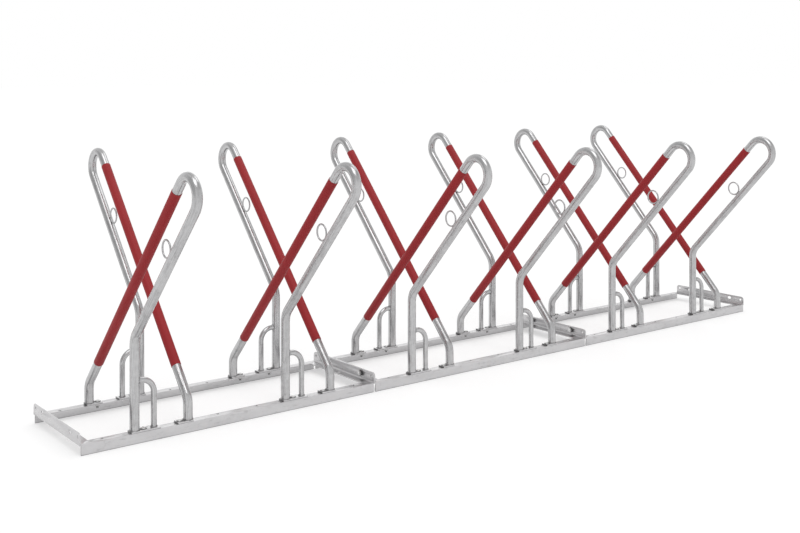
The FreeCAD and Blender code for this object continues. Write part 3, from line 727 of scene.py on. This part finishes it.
class RACK_OT_base_frame(RackOperator):
    """Rolls the rails and the cross angles: eased edges, round roots, holes, slots and mitred ends"""

    bl_idname = "rack.base_frame"
    bl_label = "Base frame"

    def execute(self, context):
        sizes, ahead, about = context.scene.rack_sizes, np.eye(3), np.diag([-1.0, -1.0, 1.0])
        for module in MODULES:
            for side, turn in zip(SIDES, (ahead, about)):
                name = f"{side}_rail_{module}"
                low, high = frame_box(name)
                surfaces = self.rail(sizes, (high[0] - low[0]) / 2, np.abs([low[1], high[1]]).max(), high[2])
                self.lay(name, surfaces, turn, (low[0] + high[0]) / 2, "galvanised_rail")
            for end, turn, edge in (("left", ahead, 0), ("right", about, 1)):
                name = f"{end}_cross_angle_{module}"
                corners = frame_box(name)
                surfaces = self.cross_angle(sizes, corners[1][1], corners[0][2], corners[1][2])
                self.lay(name, surfaces, turn, corners[edge][0], "galvanised_cross")
        return {"FINISHED"}

    @staticmethod
    def lay(name, surfaces, turn, x, finish):
        """Turns one angle's surfaces, moves them along the row and makes its piece."""
        surfaces = [moved(surface, turn, X * x) for surface in surfaces]
        make_piece(f"{name}_rolled", surfaces, finish, [name])

    @staticmethod
    def rail(sizes, half_length, half_width, leg):
        """A near rail round its module's middle: the mitred top leg, and the upright leg with its root."""
        wall, row, gap = sizes.wall, sizes.spare_inset, sizes.rail_gap
        spare = [half_length - sizes.spare_outer, half_length - sizes.spare_inner]
        holes = [slot(x, row, sizes.spare_hole, sizes.spare_hole) for x in (*spare, *(-x for x in spare))]
        right = (half_length - row, row)
        top = plate(right, [(half_length - leg, leg)], [(half_length, 0)], wall, EASED, holes=holes)
        under = leg - wall
        root = (wall + sizes.rail_root, under - sizes.rail_root)
        section = np.concatenate([
            [(0, under)], arc((EASED, EASED), EASED, math.pi, math.pi * 1.5),
            arc((wall - EASED, EASED), EASED, -math.pi / 2, 0), arc(root, sizes.rail_root, math.pi, math.pi / 2),
        ])
        upright = prism(section, gap - half_length, half_length - gap, EASED / 2)
        return [
            moved(top, np.eye(3), (0, -half_width, under)),
            moved(upright, np.eye(3), (0, -half_width, 0)),
        ]

    @staticmethod
    def cross_angle(sizes, half_width, low, high):
        """A left cross angle at its end plane: the upright leg, the mitred level leg and the root between."""
        wall, corner, level = sizes.wall, sizes.cross_corner, sizes.link_height
        shy = 0.3 * MM  # keeps hidden faces out of the plane of visible ones
        half, leg, flange = half_width - shy, high - low, low + wall
        slots = half_width - sizes.slot_inset
        ends = half_width - sizes.end_hole_inset
        holes = [slot(sign * slots, level, sizes.slot_length, sizes.slot_width) for sign in (-1, 1)]
        holes += [slot(sign * ends, level, sizes.end_hole, sizes.end_hole) for sign in (-1, 1)]
        top_corner = arc((half - corner, high - corner), corner, 0, math.pi / 2, count=9)
        upright = plate((half, level), top_corner, [(half, low)], wall, EASED, EASED, holes)
        hidden, row, mitre = wall - shy, sizes.anchor_inset, half_width - flange
        anchor = [slot(0, row, sizes.anchor_hole, sizes.anchor_hole, count=38)]
        level_leg = plate(
            (half_width - row, row), [(mitre, flange), (mitre, leg)], [(half_width - hidden, hidden)],
            wall, EASED, EASED, anchor,
        )
        r, inside = sizes.cross_root, 1 * MM
        section = np.concatenate([
            [(wall - inside, flange - inside), (wall + r, flange - inside)],
            arc((wall + r, flange + r), r, math.pi * 1.5, math.pi), [(wall - inside, flange + r)],
        ])
        ends = half_width - section[:, 0]
        return [
            moved(upright, np.stack([Y, Z, X], -1), (0, 0, 0)),
            moved(level_leg, np.stack([-Y, X, Z], -1), (0, 0, low)),
            moved(prism(section, -ends, ends), np.stack([Y, X, Z], -1), (0, 0, 0)),
        ]


class RACK_OT_hoops(RackOperator):
    """Bends the hoops' round tubes in place of the flat-sided ones"""

    bl_idname = "rack.hoops"
    bl_label = "Hoops"

    def execute(self, context):
        radius = context.scene.rack_sizes.tube / 2
        for hoop in hoops_of(*SIDES):
            flat, along = bent_line(hoop.corners, hoop.radii)
            surface = tube(hoop.world(flat), hoop.direction(along), X, radius)
            replaced = [f"{hoop.side}_hoop_{hoop.number}"]
            make_piece(f"{hoop.side}_tube_{hoop.number}", [surface], "galvanised_tube", replaced)
        return {"FINISHED"}


class RACK_OT_sleeves(RackOperator):
    """Fits the plastic sleeves over the climbing runs"""

    bl_idname = "rack.sleeves"
    bl_label = "Sleeves"

    def execute(self, context):
        sizes = context.scene.rack_sizes
        inner, wall = sizes.tube / 2 + sizes.sleeve_gap, sizes.sleeve_wall
        edge = wall * 0.45
        cover = turned(collar(inner, inner + wall, sizes.sleeve_length, edge, count=5), sides=48)
        for hoop in hoops_of(*SIDES):
            axis = hoop.direction(hoop.run)
            matrix = np.stack([X, np.cross(axis, X), axis], -1)
            start = hoop.world(hoop.knee_end + hoop.run * sizes.sleeve_start)
            make_piece(
                f"{hoop.side}_cover_{hoop.number}", [moved(cover, matrix, start)], "sleeve_plastic",
                [f"{hoop.side}_sleeve_{hoop.number}"],
            )
        return {"FINISHED"}


class RACK_OT_lock_rings(RackOperator):
    """Makes the round lock rings and their welds"""

    bl_idname = "rack.lock_rings"
    bl_label = "Lock rings"

    def execute(self, context):
        sizes = context.scene.rack_sizes
        t, rod = circle(16), sizes.ring_rod / 2
        blank = turned(np.stack([sizes.ring / 2 - rod + rod * np.cos(t), rod * np.sin(t)], -1), sides=64)
        inward = sizes.top_bend - sizes.tube / 2 - sizes.ring / 2
        # The welds lie on both flanks of the ring, and rise from the tube with it towards their ends.
        half_run, width, spread, sunk, lift, bend = 10 * MM, 3.2 * MM, 0.85, 0.6 * MM, 0.9 * MM, 45 * MM
        s = np.linspace(-half_run, half_run, 24)[:, None]
        rise = lift + s**2 / (2 * bend)
        for side in SIDES:
            rings, welds = [], []
            for hoop in hoops_of(side):
                middle = hoop.centre - hoop.run * sizes.ring_drop - hoop.square * inward
                across, along = hoop.direction(hoop.square), hoop.direction(hoop.run)
                matrix = np.stack([across, along, np.cross(across, along)], -1)
                rings.append(moved(blank, matrix, hoop.world(middle)))
                touch = hoop.world(middle - hoop.square * (sizes.ring / 2 - sunk))
                for flank in (-1, 1):
                    line = touch + along * s + X * flank * rod * spread + across * rise
                    welds.append(bead(line, width, hoop.number * 2 + flank, joined=False))
            make_piece(f"{side}_round_rings", rings, "galvanised_tube", [f"{side}_lock_rings"])
            make_piece(f"{side}_ring_welds", welds, "galvanised_weld")
        return {"FINISHED"}


class RACK_OT_wheel_guides(RackOperator):
    """Bends the thin wheel guides, coped to the long legs"""

    bl_idname = "rack.wheel_guides"
    bl_label = "Wheel guides"

    def execute(self, context):
        sizes, sides, sunk = context.scene.rack_sizes, 32, 0.4 * MM
        for side in SIDES:
            hand, reach, level = guide_place(side, sizes)
            tubes = []
            for hoop in hoops_of(side):
                leg = hoop.long_foot
                flat, along = bent_line([(0, level), (reach, level), (reach, leg[2])], [sizes.guide_bend])
                points = leg * (1, 1, 0) + flat[:, :1] * X * hand + flat[:, 1:] * Z
                surface = tube(points, along[:, :1] * X * hand + along[:, 1:] * Z, Y, sizes.guide / 2, sides)
                ring = surface["points"][:sides]
                cope = np.sqrt((sizes.tube / 2) ** 2 - (ring[:, 1] - leg[1]) ** 2)
                ring[:, 0] = leg[0] + hand * (cope - sunk)
                tubes.append(surface)
            make_piece(f"{side}_guide_tubes", tubes, "galvanised_tube", [f"{side}_wheel_guides"])
        return {"FINISHED"}


class RACK_OT_foot_plates(RackOperator):
    """Makes the foot plates, with round corners and eased edges"""

    bl_idname = "rack.foot_plates"
    bl_label = "Foot plates"

    def execute(self, context):
        corner = 1.8 * MM
        for side in SIDES:
            places = places_of(side)
            for name in (f"{side}_leg_plates", f"{side}_short_leg_plates"):
                low, high = frame_box(name)
                half = np.array([high[0] - low[0] - (places[-1] - places[0]), high[1] - low[1]]) / 2
                blank = rounded_plate(*half, corner, high[2] - low[2])
                middle = np.array([low[0] + half[0] - places[0], low[1] + half[1], low[2]])
                plates = [moved(blank, np.eye(3), middle + X * x) for x in places]
                make_piece(f"{name}_rounded", plates, "galvanised_plate", [name])
        return {"FINISHED"}


class RACK_OT_foot_fasteners(RackOperator):
    """Makes the domed bolts and the nuts that hold the feet"""

    bl_idname = "rack.foot_fasteners"
    bl_label = "Foot fasteners"

    def execute(self, context):
        sizes = context.scene.rack_sizes
        inset = sizes.dome / math.sqrt(3)
        for side in SIDES:
            low, high = frame_box(f"{side}_foot_bolts")
            nut_low, nut_high = frame_box(f"{side}_foot_nuts")
            seat = frame_box(f"{side}_leg_plates")[1][2]
            places = places_of(side)
            lead = low[0] + sizes.dome / 2 - places[0]
            dome = self.dome(sizes.dome / 2, high[2] - seat)
            end = threaded(sizes.foot_bolt, nut_high[2], low[2], sizes.pitch, sizes.thread)
            nut = hex_block(sizes.foot_nut, nut_high[2], nut_low[2])
            bolts, nuts = [], []
            for index, x in enumerate(places):
                for line, y in enumerate((low[1] + inset, high[1] - inset)):
                    at = np.array([x + lead, y, 0.0])
                    seed = index * 2 + line + (side == "far") * 20
                    turn = spun(np.random.default_rng(seed).uniform(0, math.pi / 3))
                    bolts += [moved(dome, np.eye(3), at + Z * seat), moved(end, turn, at)]
                    nuts.append(moved(nut, turn, at))
            make_fasteners(f"{side}_foot", bolts, nuts, "plated_foot")
        return {"FINISHED"}

    @staticmethod
    def dome(radius, height):
        """A low domed head on a short rim: z = rim + (height - rim) sqrt(1 - (r / radius)^2)."""
        rim, edge, t = 0.8 * MM, 0.3 * MM, np.linspace(0, math.pi / 2, 12)[:-1]
        cap = np.stack([radius * np.cos(t), rim + (height - rim) * np.sin(t)], -1)
        return turned(np.concatenate([[(radius - edge, 0), (radius, edge)], cap]), joined=False)


class RACK_OT_joining_fasteners(RackOperator):
    """Makes the bolts, washers and nuts that join the modules"""

    bl_idname = "rack.joining_fasteners"
    bl_label = "Joining fasteners"

    def execute(self, context):
        sizes = context.scene.rack_sizes
        low, high = frame_box("joining_bolts")
        plane = frame_box("left_cross_angle_2")[0][0]
        spacing = frame_box("left_cross_angle_3")[0][0] - plane
        nut_end = frame_box("joining_nuts")[0][0] - plane
        forward = np.stack([-Z, Y, X], -1)
        flats, thick = sizes.joining_flats, sizes.washer_thickness
        seat, slack, edge = sizes.wall + thick, 0.25 * MM, 0.35 * MM
        washer = turned(collar(sizes.joining_bolt / 2 + slack, sizes.washer / 2, thick, edge, count=4))
        head = hex_block(flats, seat, seat + sizes.joining_head)
        end = threaded(sizes.joining_bolt, -seat, low[0] - plane, sizes.pitch, sizes.thread)
        nut = hex_block(flats, -seat, nut_end)
        bolts, nuts = [], []
        for index in range(len(MODULES) - 1):
            for line, y in enumerate((low[1] + flats / 2, high[1] - flats / 2)):
                at = np.array([plane + spacing * index, y, sizes.link_height])
                turn = forward @ spun(0.4 + 0.9 * index + 0.5 * line)  # as each was left when it was tight
                bolts += [moved(washer, forward, at + X * sizes.wall), moved(head, turn, at), moved(end, turn, at)]
                nuts += [moved(washer, forward, at - X * seat), moved(nut, turn, at)]
        make_fasteners("joining", bolts, nuts, "plated_joining")
        return {"FINISHED"}


class RACK_OT_welds(RackOperator):
    """Lays the weld beads round the feet and the wheel guides"""

    bl_idname = "rack.welds"
    bl_label = "Welds"

    def execute(self, context):
        sizes, a, lift, saddle_share = context.scene.rack_sizes, circle(72), 0.4 * MM, 0.8
        ring = around(1.0, a, 0.0)
        for side in SIDES:
            hand, reach, level = guide_place(side, sizes)
            beads = []
            for hoop in hoops_of(side):
                leg, seed = hoop.long_foot, hoop.number * 8
                feet = [(leg, sizes.tube), (hoop.short_foot, sizes.tube), (leg + X * hand * reach, sizes.guide)]
                for index, (foot, diameter) in enumerate(feet):
                    beads.append(bead(foot + ring * diameter / 2 + Z * lift, sizes.weld, seed + index))
                r = sizes.guide / 2
                out = np.sqrt((sizes.tube / 2) ** 2 - (r * np.cos(a)) ** 2)
                saddle = np.stack([leg[0] + hand * out, leg[1] + r * np.cos(a), level + r * np.sin(a)], -1)
                beads.append(bead(saddle, sizes.weld * saddle_share, seed + 5))
            make_piece(f"{side}_weld_beads", beads, "galvanised_weld")
        return {"FINISHED"}


# Where the surround that the steel mirrors is dimmer or brighter: azimuth, elevation, reach in degrees, amount.
SURROUND = ((161, 14, 50, -0.31), (-15, 48, 34, -0.14), (58, 16, 32, 0.34))


def light_rays(tree):
    """1 for the camera's rays, and 1 for glossy and transmission rays, which show the background too."""
    rays = {field.socket.name: field for field in add_node(tree, "LightPath")}
    return rays["Is Camera Ray"], rays["Is Glossy Ray"].math("MAXIMUM", rays["Is Transmission Ray"])


def pale_floor(rgb):
    """A pale floor that keeps its shadows: where it is seen or mirrored it is darker with a lift, so that it is
    white where it is lit, and the lift grows with the distance from the rack."""
    seen_share, near, far, near_lift, far_lift = 0.7, 1.5, 11.0, 0.43, 0.52
    material = bpy.data.materials.new("pale_floor")
    material.use_nodes = True
    tree = material.node_tree
    tree.nodes.clear()
    diffuse = add_node(tree, "BsdfDiffuse", {"Color": (*rgb, 1.0)})[0]
    shown = add_node(tree, "BsdfDiffuse", {"Color": (*shaded(rgb, seen_share), 1.0)})[0]
    place = add_node(tree, "TexCoord")[3]
    distance = add_node(tree, "VectorMath", {0: place}, operation="LENGTH")[1]
    lift = distance.between(near, far).mix((near_lift,) * 3, (far_lift,) * 3)
    glow = add_node(tree, "Emission", {"Color": lift, "Strength": 1.0})[0]
    lifted = add_node(tree, "AddShader", {0: shown, 1: glow})[0]
    camera, mirror = light_rays(tree)
    seen = camera.math("MAXIMUM", mirror)
    result = add_node(tree, "MixShader", {0: seen, 1: diffuse, 2: lifted})[0]
    add_node(tree, "OutputMaterial", {"Surface": result})
    return material


def white_world(world):
    """A white surround: even for the camera, a little uneven in the steel, and softer where it lights."""
    world.use_nodes = True
    tree = world.node_tree
    tree.nodes.clear()
    direction = add_node(tree, "TexCoord")[0]
    up = direction.axis(2)
    mirrored = 1.0 - up.between(0.1, 0.7) * 0.15
    for *degrees, amount in SURROUND:
        azimuth, elevation, reach = map(math.radians, degrees)
        flat = math.cos(elevation)
        towards = (flat * math.cos(azimuth), flat * math.sin(azimuth), math.sin(elevation))
        near = add_node(tree, "VectorMath", {0: direction, 1: towards}, operation="DOT_PRODUCT")[1]
        mirrored = near.between(math.cos(reach), math.cos(reach / 4)) * amount + mirrored
    soft = up.between(-0.1, 0.9) * 0.25 + 0.62
    camera, mirror = light_rays(tree)
    level = soft + mirror * (mirrored - soft)
    level = level + camera * (1.0 - level)
    sky = add_node(tree, "Background", {"Color": (1.0, 1.0, 1.0, 1.0), "Strength": level})[0]
    add_node(tree, "OutputWorld", {"Surface": sky})


def aim(place, target):
    """The turn that points an object's -Z from place to target."""
    return (Vector(target) - Vector(place)).to_track_quat("-Z", "Y").to_euler()


class RACK_OT_stage(RackOperator):
    """Sets the floor, the lamps and the camera"""

    bl_idname = "rack.stage"
    bl_label = "Stage"

    FLOOR_REACH, FLOOR_DROP = 60.0, 0.5 * MM
    LAMPS = (  # name, place, side and power
        ("key", (-2.1, -2.3, 7.1), 4.8, 116.0),
        ("side", (3.7, 0.9, 7.1), 3.6, 50.0),
    )
    LAMPS_AIM = (0.0, 0.0, 0.3)
    # The photograph's camera stands level, and a vertical shift frames the rack.
    CAMERA_PLACE, CAMERA_TURN = (-2.6727, -3.1350, 1.0585), (math.radians(90), 0.0, math.radians(-37.62))
    SENSOR, LENS, SHIFT, CLIP = 36.0, 50.355, -0.2469, 200.0

    def execute(self, context):
        scene = context.scene
        s = np.linspace(-self.FLOOR_REACH, self.FLOOR_REACH, 9)
        x, y = np.meshgrid(s, s, indexing="ij")
        sheet = grid(np.stack([x, y, np.full(x.shape, -self.FLOOR_DROP)], -1))
        mesh = bpy.data.meshes.new("floor")
        mesh.from_pydata(sheet["points"].tolist(), [], sheet["faces"][0][:, ::-1].tolist())
        floor = bpy.data.objects.new("floor", mesh)
        scene.collection.objects.link(floor)
        mesh.materials.append(pale_floor(tuple(scene.rack_colours.floor)))
        scene.world = scene.world or bpy.data.worlds.new("sky")
        white_world(scene.world)
        for name, place, size, power in self.LAMPS:
            data = bpy.data.lights.new(name, "AREA")
            data.shape, data.size, data.energy = "SQUARE", size, power
            lamp = bpy.data.objects.new(name, data)
            lamp.location = place
            lamp.rotation_euler = aim(place, self.LAMPS_AIM)
            lamp.visible_camera = False
            scene.collection.objects.link(lamp)
        data = bpy.data.cameras.new("camera")
        data.sensor_width, data.lens, data.shift_y, data.clip_end = self.SENSOR, self.LENS, self.SHIFT, self.CLIP
        camera = bpy.data.objects.new("camera", data)
        camera.location, camera.rotation_euler = self.CAMERA_PLACE, self.CAMERA_TURN
        scene.collection.objects.link(camera)
        scene.camera = camera
        scene.view_settings.view_transform = "Standard"
        return {"FINISHED"}


class RACK_PT_panel(bpy.types.Panel):
    """The rack's pieces, sizes and colours"""

    bl_label = "Bicycle lean rack"
    bl_idname = "RACK_PT_panel"
    bl_space_type = "VIEW_3D"
    bl_region_type = "UI"
    bl_category = "Rack"

    def draw(self, context):
        for operator in OPERATORS:
            self.layout.operator(operator.bl_idname)
        for group in (context.scene.rack_sizes, context.scene.rack_colours):
            box = self.layout.box()
            for name in group.__annotations__:
                box.prop(group, name)


OPERATORS = (
    RACK_OT_stage,
    RACK_OT_base_frame,
    RACK_OT_hoops,
    RACK_OT_sleeves,
    RACK_OT_lock_rings,
    RACK_OT_wheel_guides,
    RACK_OT_foot_plates,
    RACK_OT_foot_fasteners,
    RACK_OT_joining_fasteners,
    RACK_OT_welds,
)
CLASSES = (RackSizes, RackColours, *OPERATORS, RACK_PT_panel)


def register():
    for cls in CLASSES:
        bpy.utils.register_class(cls)
    bpy.types.Scene.rack_sizes = bpy.props.PointerProperty(type=RackSizes)
    bpy.types.Scene.rack_colours = bpy.props.PointerProperty(type=RackColours)


def unregister():
    del bpy.types.Scene.rack_colours
    del bpy.types.Scene.rack_sizes
    for cls in reversed(CLASSES):
        bpy.utils.unregister_class(cls)


def main():
    register()
    for operator in OPERATORS:
        group, name = operator.bl_idname.split(".")
        getattr(getattr(bpy.ops, group), name)()


if __name__ == "__main__":
    main()
